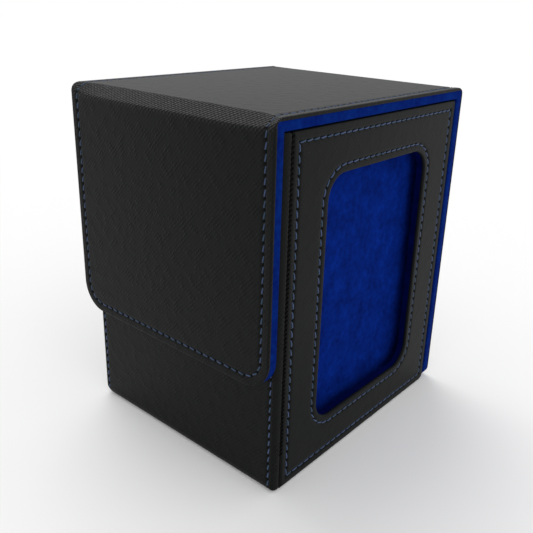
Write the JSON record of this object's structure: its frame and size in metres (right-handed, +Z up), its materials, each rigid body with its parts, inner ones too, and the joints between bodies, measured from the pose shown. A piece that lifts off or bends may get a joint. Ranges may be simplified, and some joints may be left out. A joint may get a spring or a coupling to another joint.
{
  "type": "trading card deck box",
  "caption": "Flip-top deck box for sleeved trading cards, black stitched leatherette with blue microfibre lining and a display window in one side.",
  "frame": {"origin": "middle of the box's foot, on the surface it stands on", "axes": "+X towards the display window side, -Y towards the flap, +Z up"},
  "size_m": [0.08, 0.0932, 0.107],
  "materials": {
    "leatherette": "black cross-grain embossed leatherette, satin",
    "microfibre": "royal blue brushed microfibre, matt with a soft nap",
    "greyboard": "plain grey pressed board, hidden",
    "magnet_steel": "nickel-plated discs, hidden",
    "thread": "steel-blue bonded polyester thread"
  },
  "bodies": {
    "box": {"front_wall_cover": "leatherette", "front_wall_board": "greyboard", "front_wall_lining": "microfibre", "wall_magnets": "magnet_steel", "side_wall_cover": "leatherette", "side_wall_board": "greyboard", "side_wall_lining": "microfibre", "rear_wall_cover": "leatherette", "rear_wall_board": "greyboard", "rear_wall_lining": "microfibre", "base_cover": "leatherette", "base_board": "greyboard", "base_lining": "microfibre", "inner_wall_board": "greyboard", "inner_wall_lining": "microfibre", "pocket_front_strip": "microfibre", "pocket_rear_strip": "microfibre", "pocket_floor_strip": "microfibre", "display_frame_cover": "leatherette", "display_frame_board": "greyboard", "display_frame_lining": "microfibre", "back_panel_cover": "leatherette", "back_panel_board": "greyboard", "back_panel_lining": "microfibre", "rear_fold_cover": "leatherette", "rear_fold_lining": "microfibre"},
    "lid": {"lid_cover": "leatherette", "lid_board": "greyboard", "lid_lining": "microfibre", "front_fold_cover": "leatherette", "front_fold_lining": "microfibre"},
    "flap": {"flap_cover": "leatherette", "flap_board": "greyboard", "flap_lining": "microfibre", "flap_magnets": "magnet_steel"}
  },
  "joints": [
    {"name": "lid_hinge", "type": "hinge", "parent": "box", "child": "lid", "pos_m": [0, 0.0457, 0.1061], "axis": [-1, 0, 0], "range_deg": [0, 180]},
    {"name": "flap_hinge", "type": "hinge", "parent": "lid", "child": "flap", "pos_m": [0, -0.0457, 0.1061], "axis": [-1, 0, 0], "range_deg": [0, 90]}
  ]
}
